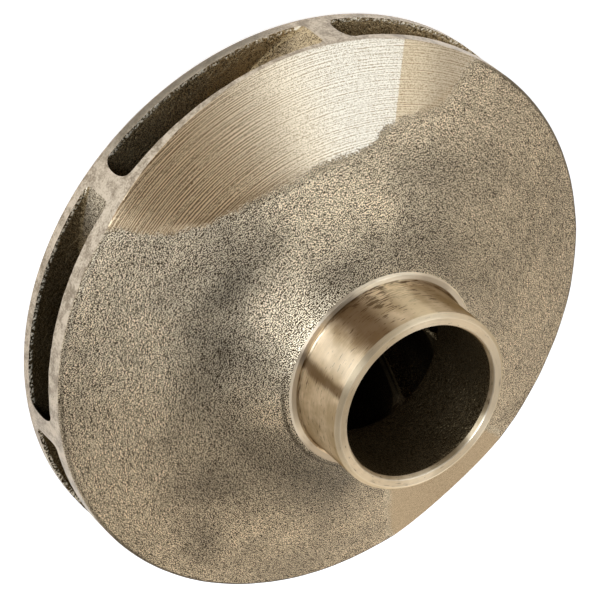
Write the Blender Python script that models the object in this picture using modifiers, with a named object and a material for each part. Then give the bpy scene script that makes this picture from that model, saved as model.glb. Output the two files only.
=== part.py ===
"""Closed radial pump impeller, one bronze casting.

Metres, +Z along the shaft axis towards the eye. The rear hub face lies on z = 0
and the axis passes through the origin.
"""

import math

import bmesh
import bpy
from mathutils import Matrix, Vector
from mathutils.geometry import interpolate_bezier

# Rim: two shroud edges with the outlet slot between them
OUTER_RADIUS = 0.0875
REAR_RIM = 0.0033
OUTLET_WIDTH = 0.0120
FRONT_RIM = 0.0062

# Hub: a rear boss, a flared body and a nose inside the eye
REAR_BOSS_HEIGHT = 0.0040
REAR_BOSS_RADIUS = 0.0200
HUB_NOSE_RADIUS = 0.0140
HUB_NOSE_HEIGHT = 0.0340
BORE_RADIUS = 0.0095
KEYWAY_WIDTH = 0.0050
KEYWAY_DEPTH = 0.0023

# Neck: the turned ring round the eye, and the shoulder at its foot
NECK_RADIUS = 0.0279
NECK_CHAMFER = 0.0012
SHOULDER_RADIUS = 0.0299
SHOULDER_HEIGHT = 0.0556
EYE_RADIUS = 0.0238
EYE_FACE_HEIGHT = 0.0756
EYE_LIP_WIDTH = 0.0006
EYE_LIP_DEPTH = 0.0014

# Vanes: spirals of even thickness, swept back from the rim
VANE_COUNT = 7
VANE_THICKNESS = 0.0036
VANE_TIP_ANGLE = math.radians(96.7)
VANE_EXIT_ANGLE = math.radians(25.0)
VANE_INLET_ANGLE = math.radians(41.0)
VANE_POINTS = 16
VANE_ROOT = 0.0020
VANE_ROOT_IN_HUB = 0.0060
LEADING_EDGE_AT_SHROUD = (0.0246, 0.0458)
LEADING_EDGE_AT_HUB = (0.0165, 0.0270)

# Handles of the three curved walls, as (radius, height)
FRONT_OUTER_HANDLES = ((0.0553, 0.0392), (0.0357, 0.0485))
FRONT_INNER_HANDLES = ((0.0580, 0.0335), (EYE_RADIUS, 0.0430))
BACK_INNER_HANDLES = ((0.0500, 0.0085), (0.0190, 0.0160))
INNER_WALL_TOP = 0.0470

# Broad balance cut: the front wall's own shape turned again, dipping outside a chord
CUT_DIRECTION = math.radians(60.0)
CUT_CHORD = 0.0595
CUT_DIP = 0.16

# Small balance flat: a plane across the front wall
FLAT_DIRECTION = math.radians(-100.0)
FLAT_REACH = 0.0440
FLAT_DEPTH = 0.0012

# Facets round the axis, and the points of each curved wall
SEGMENTS = 56
WALL_POINTS = 8
# Stock left on the rim before it is turned, clearance of the cutters, and weld distance
STOCK = 0.0015
CLEARANCE = 0.0100
WELD = 0.00001

BACK_HEIGHT = REAR_BOSS_HEIGHT
SLOT_LOW = BACK_HEIGHT + REAR_RIM
SLOT_HIGH = SLOT_LOW + OUTLET_WIDTH
FRONT_EDGE = SLOT_HIGH + FRONT_RIM


def clear_scene():
    for item in list(bpy.data.objects):
        bpy.data.objects.remove(item, do_unlink=True)


def new_collection(name):
    collection = bpy.data.collections.new(name)
    bpy.context.scene.collection.children.link(collection)
    return collection


def bronze():
    material = bpy.data.materials.new("cast_bronze")
    material.use_nodes = True
    shader = material.node_tree.nodes["Principled BSDF"]
    shader.inputs["Base Color"].default_value = (0.46, 0.39, 0.27, 1.0)
    shader.inputs["Metallic"].default_value = 1.0
    shader.inputs["Roughness"].default_value = 0.42
    return material


def evaluated_mesh(item):
    """The item's mesh with its modifiers, in world space."""
    depsgraph = bpy.context.evaluated_depsgraph_get()
    mesh = bpy.data.meshes.new_from_object(item.evaluated_get(depsgraph))
    mesh.transform(item.matrix_world)
    return mesh


def bake(item, collection):
    """Replace an object by a plain mesh object of the same name."""
    name = item.name
    bpy.context.view_layer.update()
    mesh = evaluated_mesh(item)
    bpy.data.objects.remove(item, do_unlink=True)
    working = bmesh.new()
    working.from_mesh(mesh)
    bmesh.ops.remove_doubles(working, verts=working.verts, dist=WELD)
    working.to_mesh(mesh)
    working.free()
    baked = bpy.data.objects.new(name, mesh)
    collection.objects.link(baked)
    return baked


def bezier(start, handles, end):
    """Points (radius, height) of one cubic curve, both ends included."""
    flat = [Vector((radius, height, 0.0)) for radius, height in (start, *handles, end)]
    return [(point.x, point.y) for point in interpolate_bezier(*flat, WALL_POINTS)]


def turned(name, outline, collection):
    """Turn a closed (radius, height) outline that runs down its outer side."""
    points = [(radius, 0.0, height) for radius, height in outline]
    edges = [(index, (index + 1) % len(points)) for index in range(len(points))]
    mesh = bpy.data.meshes.new(name)
    mesh.from_pydata(points, edges, [])
    item = bpy.data.objects.new(name, mesh)
    collection.objects.link(item)
    screw = item.modifiers.new("Screw", "SCREW")
    screw.steps = SEGMENTS
    screw.render_steps = SEGMENTS
    screw.merge_threshold = WELD
    screw.use_merge_vertices = True
    return bake(item, collection)


def front_outer_wall():
    """From the rim's front edge up to the shoulder."""
    rim = (OUTER_RADIUS, FRONT_EDGE)
    shoulder = (SHOULDER_RADIUS, SHOULDER_HEIGHT)
    return bezier(rim, FRONT_OUTER_HANDLES, shoulder)


def front_inner_wall():
    """From the rim's slot up to the eye's bore."""
    rim = (OUTER_RADIUS, SLOT_HIGH)
    bore = (EYE_RADIUS, INNER_WALL_TOP)
    return bezier(rim, FRONT_INNER_HANDLES, bore)


def back_inner_wall():
    """From the rim's slot in to the hub's nose."""
    rim = (OUTER_RADIUS, SLOT_LOW)
    nose = (HUB_NOSE_RADIUS, HUB_NOSE_HEIGHT)
    return bezier(rim, BACK_INNER_HANDLES, nose)


def front_shroud(collection):
    """Front shroud and neck in one turned piece, with stock on the rim."""
    outline = [(EYE_RADIUS + EYE_LIP_WIDTH, EYE_FACE_HEIGHT)]
    outline.append((NECK_RADIUS - NECK_CHAMFER, EYE_FACE_HEIGHT))
    outline.append((NECK_RADIUS, EYE_FACE_HEIGHT - NECK_CHAMFER))
    outline.append((NECK_RADIUS, SHOULDER_HEIGHT))
    outline += list(reversed(front_outer_wall()))
    outline.append((OUTER_RADIUS + STOCK, FRONT_EDGE))
    outline.append((OUTER_RADIUS + STOCK, SLOT_HIGH))
    outline += front_inner_wall()
    outline.append((EYE_RADIUS, EYE_FACE_HEIGHT - EYE_LIP_DEPTH))
    return turned("front_shroud", outline, collection)


def back_shroud(collection):
    """Back plate and hub in one turned piece, with stock on the rim."""
    outline = [(BORE_RADIUS, HUB_NOSE_HEIGHT)]
    outline += list(reversed(back_inner_wall()))
    outline.append((OUTER_RADIUS + STOCK, SLOT_LOW))
    outline.append((OUTER_RADIUS + STOCK, BACK_HEIGHT))
    outline.append((REAR_BOSS_RADIUS, BACK_HEIGHT))
    outline.append((REAR_BOSS_RADIUS, 0.0))
    outline.append((BORE_RADIUS, 0.0))
    return turned("back_shroud", outline, collection)


def spiral():
    """The vane's middle line as (radius, angle) from outside the rim inwards."""
    outside = OUTER_RADIUS + 2 * STOCK
    inside = LEADING_EDGE_AT_HUB[0] - 2 * STOCK
    line = []
    angle = 0.0
    radius = outside
    step = (outside - inside) / (VANE_POINTS - 1)
    angle_at_rim = None
    for index in range(VANE_POINTS):
        line.append((radius, angle))
        middle = radius - step / 2
        share = (OUTER_RADIUS - middle) / (OUTER_RADIUS - inside)
        blade = VANE_EXIT_ANGLE + share * (VANE_INLET_ANGLE - VANE_EXIT_ANGLE)
        turn = step / (middle * math.tan(blade))
        if angle_at_rim is None and radius - step <= OUTER_RADIUS:
            angle_at_rim = angle + turn * (radius - OUTER_RADIUS) / step
        angle += turn
        radius -= step
    return [(r, a - angle_at_rim) for r, a in line]


def vane_outline():
    """Both sides of one vane in plan, with its tip at angle 0."""
    middle = [Vector((r * math.cos(a), r * math.sin(a))) for r, a in spiral()]
    near, far = [], []
    for index, point in enumerate(middle):
        before = middle[max(index - 1, 0)]
        after = middle[min(index + 1, len(middle) - 1)]
        along = (after - before).normalized()
        across = Vector((-along.y, along.x)) * (VANE_THICKNESS / 2)
        near.append(point + across)
        far.append(point - across)
    return near + list(reversed(far))


def vane_blank(name, turn, collection):
    """One vane as an upright wall of its plan outline."""
    curve = bpy.data.curves.new(name, "CURVE")
    curve.dimensions = "2D"
    curve.fill_mode = "BOTH"
    curve.extrude = SHOULDER_HEIGHT / 2
    spline = curve.splines.new("POLY")
    outline = vane_outline()
    spline.points.add(len(outline) - 1)
    for point, place in zip(spline.points, outline):
        point.co = (place.x, place.y, 0.0, 1.0)
    spline.use_cyclic_u = True
    item = bpy.data.objects.new(name, curve)
    collection.objects.link(item)
    item.matrix_world = Matrix.Translation((0, 0, SHOULDER_HEIGHT / 2)) @ Matrix.Rotation(turn, 4, "Z")
    return bake(item, collection)


def vane_envelope(collection):
    """The space that the vanes fill, a little inside both shrouds' walls."""
    shroud_radius, shroud_height = LEADING_EDGE_AT_SHROUD
    hub_radius, hub_height = LEADING_EDGE_AT_HUB
    upper = [(r, z + VANE_ROOT) for r, z in front_inner_wall() if r > shroud_radius + VANE_ROOT]
    lower = [(r, z - VANE_ROOT) for r, z in back_inner_wall() if r > hub_radius + VANE_ROOT]
    outline = [LEADING_EDGE_AT_SHROUD]
    outline.append((shroud_radius + VANE_ROOT / 2, shroud_height + VANE_ROOT / 2))
    outline += list(reversed(upper))
    outline.append((OUTER_RADIUS + STOCK, SLOT_HIGH + VANE_ROOT))
    outline.append((OUTER_RADIUS + STOCK, SLOT_LOW - VANE_ROOT))
    outline += lower
    outline.append((hub_radius, hub_height - VANE_ROOT_IN_HUB))
    outline.append((hub_radius - VANE_ROOT, hub_height - VANE_ROOT_IN_HUB + VANE_ROOT))
    return turned("vane_envelope", outline, collection)


def combine(body, tool, operation, collection):
    """Boolean of one body with one tool, applied."""
    boolean = body.modifiers.new(operation, "BOOLEAN")
    boolean.operation = operation
    boolean.solver = "EXACT"
    boolean.object = tool
    return bake(body, collection)


def rim_cutter(collection):
    """The stock outside the finished rim."""
    low, high = BACK_HEIGHT - CLEARANCE, FRONT_EDGE + CLEARANCE
    far = OUTER_RADIUS + CLEARANCE
    outline = [(OUTER_RADIUS, high), (far, high), (far, low), (OUTER_RADIUS, low)]
    return turned("rim_cutter", outline, collection)


def keyway_cutter(collection):
    bpy.ops.mesh.primitive_cube_add(size=1.0)
    cutter = bpy.context.object
    cutter.name = "keyway_cutter"
    for owner in list(cutter.users_collection):
        owner.objects.unlink(cutter)
    collection.objects.link(cutter)
    reach = BORE_RADIUS + KEYWAY_DEPTH
    cutter.scale = (reach, KEYWAY_WIDTH, HUB_NOSE_HEIGHT + CLEARANCE)
    cutter.location = (reach / 2, 0.0, HUB_NOSE_HEIGHT / 2)
    return bake(cutter, collection)


def wall_height(radius):
    """Height of the front wall's cast surface at a radius."""
    wall = front_outer_wall()
    for (r0, z0), (r1, z1) in zip(wall, wall[1:]):
        if r1 <= radius <= r0:
            return z0 + (z1 - z0) * (r0 - radius) / (r0 - r1)
    return FRONT_EDGE


def broad_cutter(collection):
    """A ring above the front wall's shape, tipped about a chord of the rim."""
    wall = [point for point in front_outer_wall() if point[0] > CUT_CHORD - CLEARANCE]
    rim_slope = (wall[1][1] - wall[0][1]) / (wall[0][0] - wall[1][0])
    far = OUTER_RADIUS + CLEARANCE
    far_height = FRONT_EDGE - rim_slope * CLEARANCE
    innermost = wall[-1][0]
    outline = [(innermost, SHOULDER_HEIGHT), (far, SHOULDER_HEIGHT), (far, far_height)] + wall
    cutter = turned("broad_cutter", outline, collection)
    inward = Matrix.Rotation(-CUT_DIRECTION, 4, "Z")
    tip = Matrix.Identity(4)
    tip[2][0] = -CUT_DIP
    tip[2][3] = CUT_DIP * CUT_CHORD
    cutter.data.transform(inward.inverted() @ tip @ inward)
    return cutter


def flat_cutter(collection):
    """A block whose underside is the small flat."""
    length = OUTER_RADIUS - FLAT_REACH
    low = FRONT_EDGE - FLAT_DEPTH
    slope = math.atan2(wall_height(FLAT_REACH) - low, length)
    size = 2 * length
    bpy.ops.mesh.primitive_cube_add(size=size)
    cutter = bpy.context.object
    cutter.name = "flat_cutter"
    for owner in list(cutter.users_collection):
        owner.objects.unlink(cutter)
    collection.objects.link(cutter)
    middle_height = (low + wall_height(FLAT_REACH)) / 2
    seat = Matrix.Translation((FLAT_REACH + length / 2, 0.0, middle_height))
    tilt = Matrix.Rotation(slope, 4, "Y")
    lift = Matrix.Translation((length / 2, 0.0, size / 2))
    cutter.matrix_world = Matrix.Rotation(FLAT_DIRECTION, 4, "Z") @ seat @ tilt @ lift
    return bake(cutter, collection)


def impeller(parts, cutters):
    body = front_shroud(parts)
    body.name = "impeller_casting"
    body = combine(body, back_shroud(cutters), "UNION", parts)
    envelope = vane_envelope(cutters)
    for index in range(VANE_COUNT):
        turn = VANE_TIP_ANGLE + index * math.tau / VANE_COUNT
        vane = vane_blank(f"vane_{index + 1}", turn, cutters)
        vane = combine(vane, envelope, "INTERSECT", cutters)
        body = combine(body, vane, "UNION", parts)
    body = combine(body, rim_cutter(cutters), "DIFFERENCE", parts)
    body = combine(body, keyway_cutter(cutters), "DIFFERENCE", parts)
    body = combine(body, broad_cutter(cutters), "DIFFERENCE", parts)
    return combine(body, flat_cutter(cutters), "DIFFERENCE", parts)


def main():
    clear_scene()
    parts = new_collection("pump_impeller")
    cutters = new_collection("cutters")
    body = impeller(parts, cutters)
    body.data.materials.append(bronze())
    body.data.shade_smooth()
    body.data.set_sharp_from_angle(angle=math.radians(30))
    for cutter in cutters.objects:
        cutter.hide_render = True
        cutter.display_type = "WIRE"


main()
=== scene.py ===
"""Looks of a closed radial pump impeller: one bronze casting with its as-cast skin,
turned neck and rim, balance cuts, and the seven passages between its vanes.
Metres, +Z along the shaft axis towards the eye."""

import math

import bmesh
import bpy
import numpy as np
from mathutils import Matrix, Vector, noise


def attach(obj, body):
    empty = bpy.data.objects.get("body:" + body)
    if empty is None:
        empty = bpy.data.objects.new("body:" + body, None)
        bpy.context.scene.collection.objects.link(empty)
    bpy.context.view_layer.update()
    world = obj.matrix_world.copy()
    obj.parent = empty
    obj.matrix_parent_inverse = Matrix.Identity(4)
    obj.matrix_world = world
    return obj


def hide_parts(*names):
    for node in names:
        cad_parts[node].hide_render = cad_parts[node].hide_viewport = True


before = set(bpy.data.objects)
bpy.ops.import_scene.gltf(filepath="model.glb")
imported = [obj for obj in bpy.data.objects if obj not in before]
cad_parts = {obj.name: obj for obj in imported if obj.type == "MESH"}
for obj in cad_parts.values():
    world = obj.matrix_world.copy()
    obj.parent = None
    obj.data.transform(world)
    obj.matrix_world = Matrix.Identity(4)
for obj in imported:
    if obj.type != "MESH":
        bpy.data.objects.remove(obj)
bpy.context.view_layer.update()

# Rim
OUTER_RADIUS = 0.0875
BACK_HEIGHT = 0.0040
REAR_RIM = 0.0033
OUTLET_WIDTH = 0.0120
FRONT_RIM = 0.0062
SLOT_LOW = BACK_HEIGHT + REAR_RIM
SLOT_HIGH = SLOT_LOW + OUTLET_WIDTH
FRONT_EDGE = SLOT_HIGH + FRONT_RIM
CAST_EDGE_ROUND = 0.0009
CUT_EDGE_ROUND = 0.00015
REAR_EDGE_ROUND = 0.0004

# Hub
REAR_BOSS_RADIUS = 0.0200
HUB_NOSE_RADIUS = 0.0140
HUB_NOSE_HEIGHT = 0.0340
BORE_RADIUS = 0.0095
KEYWAY_WIDTH = 0.0050
KEYWAY_DEPTH = 0.0023

# Neck
NECK_RADIUS = 0.0279
NECK_CHAMFER = 0.0012
SHOULDER_RADIUS = 0.0299
SHOULDER_HEIGHT = 0.0556
FOOT_RADIUS = SHOULDER_RADIUS + 0.0007
EYE_RADIUS = 0.0238
EYE_FACE_HEIGHT = 0.0756
EYE_LIP_WIDTH = 0.0006
EYE_LIP_DEPTH = 0.0014
EYE_WALL_FOOT = 0.0470

# Vanes
VANE_COUNT = 7
VANE_TIP_ANGLE = math.radians(96.7)
VANE_EXIT_ANGLE = math.radians(25.0)
VANE_INLET_ANGLE = math.radians(41.0)
VANE_HALF_OUTER = 0.0018
VANE_HALF_INNER = 0.0012
LEADING_EDGE_AT_SHROUD = 0.0246
LEADING_EDGE_AT_HUB = 0.0172

# Corners of a passage: small ones at one vane, full ones at the other, which
# widen inwards
SMALL_CORNER = 0.0022
FULL_CORNER = 0.0034
FULL_CORNER_GROWTH = 0.001
FULL_CORNER_HEIGHT = 0.0058

# A vane rounds off to its inlet edge over the last share of its length
INLET_ROUND_FROM = 0.93
INLET_THINNING = 0.94

# Slow waves that the sand mould left: how high and how long; those of the cone end
# at its foot and fade out where a cut begins, over the lengths and depth below
WALL_WAVES = (0.00022, 0.011)
PASSAGE_WAVES = (0.00018, 0.007)
EYE_WAVES = (0.00018, 0.008)
SLOT_EDGE_WAVES = (0.00018, 0.0022)
FINE_SLOT_EDGE = 0.0009
WAVES_FOOT_FADE = 0.004
WAVES_CUT_FADE = 0.0002

# Broad balance cut, and the small flat across from it
CUT_DIRECTION = math.radians(60.0)
CUT_CHORD = 0.0595
CUT_DIP = 0.16
TOOL_OFFSET = 0.0100
TONE_LINE_DIRECTION = math.radians(20.8)
TONE_LINE_REACH = 0.0170
FLAT_DIRECTION = math.radians(-100.0)
FLAT_REACH = 0.0440
FLAT_FADE = 0.0060
FLAT_DEPTH = 0.0012
# Depth in millimetres: how far outside the cuts their material reaches, and what
# stands for the depth on every other surface
CUT_MARGIN = 0.22
FAR_FROM_CUTS = -5.0

# Painted shadow line on the cone, just outside the shoulder
FOOT_SHADOW_RADIUS = 0.0319

# Mesh: steps round one vane pitch, up the slot, and along each surface
PITCH = math.tau / VANE_COUNT
PITCH_STEPS = 48
SLOT_STEPS = 10
AROUND = VANE_COUNT * PITCH_STEPS
WALL_ROWS = 62
PASSAGE_ROWS = 44
WELD = 1e-6

CAST, CUT, TURNED, RIM, PASSAGE = range(5)

# Old stains, partly painted shade (positive), and painted highlights (negative) on the front wall:
# x and y, reach along and across, direction in degrees, darkening in stops
STAINS_AND_LIGHT = ((-0.034, 0.038, 0.018, 0.008, 35, 0.45),
          (-0.002, 0.052, 0.013, 0.004, -5, 0.60),
          (-0.035, -0.006, 0.010, 0.007, 80, 0.45),
          (-0.055, 0.002, 0.011, 0.007, 90, 0.65),
          (-0.072, -0.014, 0.012, 0.006, 70, 0.55),
          (-0.066, -0.030, 0.007, 0.006, 40, 0.25),
          (0.037, 0.014, 0.020, 0.006, 70, 0.45),
          (0.052, 0.018, 0.020, 0.007, -60, 0.50),
          (-0.038, -0.014, 0.026, 0.011, 90, 1.00),
          (-0.030, -0.022, 0.012, 0.008, 70, 0.60),
          (-0.024, 0.047, 0.016, 0.008, 45, 0.45),
          (0.000, 0.058, 0.012, 0.006, -5, 0.60),
          (0.040, -0.006, 0.022, 0.009, 90, 0.35),
          (0.062, -0.036, 0.014, 0.010, -60, 0.20),
          (0.014, 0.031, 0.012, 0.006, -25, 0.70),
          (-0.060, 0.008, 0.012, 0.008, 0, 0.40),
          (-0.060, -0.055, 0.016, 0.012, -45, 0.30),
          (-0.010, 0.032, 0.009, 0.007, 0, -0.35),
          (0.038, 0.030, 0.010, 0.008, -30, -0.40),
          (-0.006, 0.040, 0.012, 0.006, 0, -0.30),
          (0.024, 0.048, 0.012, 0.005, -40, -0.50),
          (-0.078, 0.020, 0.010, 0.014, 0, -0.35),
          (-0.011, 0.050, 0.007, 0.005, 0, 0.75),
          (-0.021, 0.036, 0.007, 0.010, 0, 0.65),
          (-0.056, 0.040, 0.022, 0.009, 35, -0.35),
          (-0.031, 0.018, 0.005, 0.005, 0, -0.50),
          (-0.040, 0.018, 0.007, 0.014, 0, 0.45),
          (0.030, 0.022, 0.008, 0.007, 0, 0.55),
          (0.068, 0.030, 0.014, 0.006, -25, -0.35),
          (0.030, -0.055, 0.034, 0.014, 20, -0.22),
          (-0.014, 0.066, 0.016, 0.008, 10, 0.25))

# The uneven casting moves the cut's edge in (positive) or out: place along its
# chord and reach in metres, depth in millimetres; this holds down to the depth in
# metres that EDGE_WAVES_END gives
EDGE_WAVES_END = -0.003
EDGE_WAVES = ((0.037, 0.012, 0.40), (0.060, 0.008, -0.60), (0.000, 0.009, -0.20), (-0.0265, 0.0055, -0.26),
              (-0.044, 0.006, 0.28), (-0.060, 0.006, -0.40))


def curve(start, start_handle, end_handle, end, count=240):
    """Points (radius, height) of a cubic curve as two arrays."""
    t = np.linspace(0.0, 1.0, count)
    weights = ((1 - t) ** 3, 3 * t * (1 - t) ** 2, 3 * t * t * (1 - t), t ** 3)
    ends = (start, start_handle, end_handle, end)
    radius = sum(w * p[0] for w, p in zip(weights, ends))
    height = sum(w * p[1] for w, p in zip(weights, ends))
    return radius, height


FRONT_WALL = curve((OUTER_RADIUS, FRONT_EDGE), (0.0553, 0.0392), (0.0357, 0.0485),
                   (SHOULDER_RADIUS, SHOULDER_HEIGHT))
SHROUD_WALL = curve((OUTER_RADIUS, SLOT_HIGH), (0.0580, 0.0335), (EYE_RADIUS, 0.0430),
                    (EYE_RADIUS, EYE_WALL_FOOT))
HUB_WALL = curve((OUTER_RADIUS, SLOT_LOW), (0.0500, 0.0085), (0.0190, 0.0160),
                 (HUB_NOSE_RADIUS, HUB_NOSE_HEIGHT))


def height_on(wall, radius):
    return np.interp(radius, wall[0][::-1], wall[1][::-1])


def smooth(value):
    value = np.clip(value, 0.0, 1.0)
    return value * value * (3 - 2 * value)


def broad_cut_depth(x, y):
    """How far the broad cut lies below the cast surface; negative outside it."""
    return CUT_DIP * (x * math.cos(CUT_DIRECTION) + y * math.sin(CUT_DIRECTION) - CUT_CHORD)


def flat_depth(x, y):
    """How far the small flat lies below the cast surface; negative outside it."""
    along = x * math.cos(FLAT_DIRECTION) + y * math.sin(FLAT_DIRECTION)
    depth = FLAT_DEPTH * smooth((along - FLAT_REACH) / FLAT_FADE)
    inside = along > FLAT_REACH
    low = height_on(FRONT_WALL, along) - depth
    return np.where(inside, height_on(FRONT_WALL, np.hypot(x, y)) - low, -FLAT_DEPTH)


def cut_depth(x, y):
    """How far either cut lies below the cast surface; negative outside both."""
    return np.maximum(broad_cut_depth(x, y), flat_depth(x, y))


def front_height(x, y):
    """The front wall with both balance cuts taken off."""
    return height_on(FRONT_WALL, np.hypot(x, y)) - np.maximum(0.0, cut_depth(x, y))


def build_wrap():
    """Angle that a vane turns through from the rim in to each radius."""
    radius = np.linspace(OUTER_RADIUS + 0.001, LEADING_EDGE_AT_HUB - 0.004, 400)
    inside = LEADING_EDGE_AT_HUB - 0.0037
    share = (OUTER_RADIUS - radius) / (OUTER_RADIUS - inside)
    blade = VANE_EXIT_ANGLE + share * (VANE_INLET_ANGLE - VANE_EXIT_ANGLE)
    rate = 1.0 / (radius * np.tan(blade))
    turn = np.concatenate(([0.0], np.cumsum((rate[1:] + rate[:-1]) / 2 * -np.diff(radius))))
    turn -= np.interp(-OUTER_RADIUS, -radius, turn)
    return radius[::-1], turn[::-1], blade[::-1]


WRAP_RADIUS, WRAP_TURN, WRAP_BLADE = build_wrap()


def wrap(radius):
    return np.interp(radius, WRAP_RADIUS, WRAP_TURN)


def blade_angle(radius):
    return np.interp(radius, WRAP_RADIUS, WRAP_BLADE)


def stain_and_light_field(x, y):
    """How many stops darker the stains and painted shade make the cast skin at each place; negative where
    highlights are painted.
    """
    total = np.zeros_like(x)
    for centre_x, centre_y, along, across, degrees, strength in STAINS_AND_LIGHT:
        turn = math.radians(degrees)
        u = ((x - centre_x) * math.cos(turn) + (y - centre_y) * math.sin(turn)) / along
        v = ((y - centre_y) * math.cos(turn) - (x - centre_x) * math.sin(turn)) / across
        total += strength * np.exp(-(u * u + v * v))
    return total


def edge_waves(x, y):
    """How much deeper, in millimetres, the broad cut bites along its edge."""
    along = y * math.cos(CUT_DIRECTION) - x * math.sin(CUT_DIRECTION)
    on_cut = broad_cut_depth(x, y) > EDGE_WAVES_END
    waves = (depth * np.exp(-((along - place) / reach) ** 2) for place, reach, depth in EDGE_WAVES)
    return on_cut * sum(waves)


def seen_depth(x, y):
    """Depth of the cuts in millimetres, with the uneven casting taken into account."""
    return 1000 * cut_depth(x, y) + edge_waves(x, y)


def add_fields(mesh):
    """Cut depth in millimetres, and stains with painted shade and highlights, kept on the mesh for its
    materials.
    """
    places = np.empty(len(mesh.vertices) * 3, dtype=np.float32)
    mesh.vertices.foreach_get("co", places)
    x, y, z = places.reshape(-1, 3).astype(float).T
    in_front = z > SLOT_HIGH
    fields = {"cut_depth": np.where(in_front, seen_depth(x, y), FAR_FROM_CUTS),
              "stain_and_light": np.where(in_front, stain_and_light_field(x, y), 0.0)}
    for name, values in fields.items():
        attribute = mesh.attributes.new(name, "FLOAT", "POINT")
        attribute.data.foreach_set("value", values.astype(np.float32))


class Skin:
    """Gathers grids of points into one welded mesh."""

    def __init__(self):
        self.points = []
        self.faces = []
        self.kinds = []

    def grid(self, rows, kind):
        """Closed rows of equally many points, joined by quads."""
        first = len(self.points)
        count = len(rows[0])
        for row in rows:
            self.points.extend(tuple(point) for point in row)
        for index in range(len(rows) - 1):
            for column in range(count):
                a = first + index * count + column
                b = first + index * count + (column + 1) % count
                self.faces.append((a, b, b + count, a + count))
                self.kinds.append(kind)

    def wall(self, rows):
        """A grid of the front wall: brushed in and near a cut, cast elsewhere."""
        first = len(self.kinds)
        self.grid(rows, CAST)
        for index in range(first, len(self.kinds)):
            x, y = np.mean([self.points[corner][:2] for corner in self.faces[index]], axis=0)
            if seen_depth(x, y) > -CUT_MARGIN:
                self.kinds[index] = CUT

    def to_object(self, name, materials):
        """The grids welded into one object, each face with its own material."""
        mesh = bpy.data.meshes.new(name)
        mesh.from_pydata(self.points, [], self.faces)
        for material in materials:
            mesh.materials.append(material)
        mesh.polygons.foreach_set("material_index", self.kinds)
        work = bmesh.new()
        work.from_mesh(mesh)
        bmesh.ops.remove_doubles(work, verts=work.verts, dist=WELD)
        bmesh.ops.recalc_face_normals(work, faces=work.faces)
        work.to_mesh(mesh)
        work.free()
        add_fields(mesh)
        item = bpy.data.objects.new(name, mesh)
        bpy.context.scene.collection.objects.link(item)
        return item


ANGLES = VANE_TIP_ANGLE + np.arange(AROUND) * math.tau / AROUND


def ring(radius, height):
    """One closed ring of points; radius and height may vary round it."""
    radius = np.broadcast_to(radius, ANGLES.shape)
    height = np.broadcast_to(height, ANGLES.shape)
    return np.column_stack((radius * np.cos(ANGLES), radius * np.sin(ANGLES), height))


def undulate(points, amount, size, mask=None):
    """Slow waves of the sand mould, which push points along the axis."""
    shifted = np.array(points, dtype=float)
    for index, point in enumerate(shifted):
        place = Vector(point) / size
        wave = noise.noise(place) + 0.5 * noise.noise(place * 2.3 + Vector((7, 3, 5)))
        push = amount * wave * (1.0 if mask is None else mask[index])
        shifted[index, 2] += push
    return shifted


def undulate_radius(points, amount, size):
    """Slow waves of the mould on an upright wall."""
    shifted = np.array(points, dtype=float)
    for index, point in enumerate(shifted):
        wave = noise.noise(Vector(point) / size)
        scale = 1 + amount * wave / math.hypot(point[0], point[1])
        shifted[index, 0] *= scale
        shifted[index, 1] *= scale
    return shifted


def wall_rows(edge):
    """Rows of the cone from the shoulder out to where the rim's rounded edge begins."""
    rows = []
    for index in range(WALL_ROWS + 1):
        share = index / WALL_ROWS
        radius = FOOT_RADIUS + (OUTER_RADIUS - edge - FOOT_RADIUS) * share
        x, y = radius * np.cos(ANGLES), radius * np.sin(ANGLES)
        cast = 1.0 - smooth(cut_depth(x, y) / WAVES_CUT_FADE + 0.5)
        cast = cast * smooth((radius - FOOT_RADIUS) / WAVES_FOOT_FADE)
        rows.append(undulate(ring(radius, front_height(x, y)), *WALL_WAVES, cast))
    return rows


def edge_rows(start, edge):
    """Rows that turn the cone's last row over into the rim."""
    rows = [start]
    for degrees in (30.0, 60.0, 90.0):
        turn = math.radians(degrees)
        radius = OUTER_RADIUS - edge * (1 - math.sin(turn))
        drop = edge * (1 - math.cos(turn)) + edge * 0.35 * math.sin(turn)
        rows.append(ring(radius, start[:, 2] - drop))
    return rows


def front_surface(skin):
    """Cast cone from the rim's edge up to the shoulder, with the cuts in it."""
    rim_depth = cut_depth(OUTER_RADIUS * np.cos(ANGLES), OUTER_RADIUS * np.sin(ANGLES))
    cut_share = smooth(rim_depth / 0.0010 + 0.3)
    edge = CAST_EDGE_ROUND + cut_share * (CUT_EDGE_ROUND - CAST_EDGE_ROUND)
    cone = wall_rows(edge)
    skin.wall(cone)
    rounding = edge_rows(cone[-1], edge)
    skin.wall(rounding)
    return rounding[-1]


def rounded(u, v, corners):
    """Move a point of the unit square's edge onto rounded corners.

    corners maps (u end, v end) to the corner's reach along u and v.
    """
    for (u_end, v_end), (reach_u, reach_v) in corners.items():
        du = u if u_end == 0 else 1 - u
        dv = v if v_end == 0 else 1 - v
        if du < reach_u and dv < reach_v:
            p = (reach_u - du) / reach_u
            q = (reach_v - dv) / reach_v
            length = math.hypot(p, q)
            du = reach_u - reach_u * p / length
            dv = reach_v - reach_v * q / length
            u = du if u_end == 0 else 1 - du
            v = dv if v_end == 0 else 1 - dv
    return u, v


def square_edge():
    """Points round the unit square: along the hub, up, back along the shroud, down."""
    points = [(index / PITCH_STEPS, 0.0) for index in range(PITCH_STEPS)]
    points += [(1.0, index / SLOT_STEPS) for index in range(SLOT_STEPS)]
    points += [(1 - index / PITCH_STEPS, 1.0) for index in range(PITCH_STEPS)]
    points += [(0.0, 1 - index / SLOT_STEPS) for index in range(SLOT_STEPS)]
    return points


SQUARE = square_edge()


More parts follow.
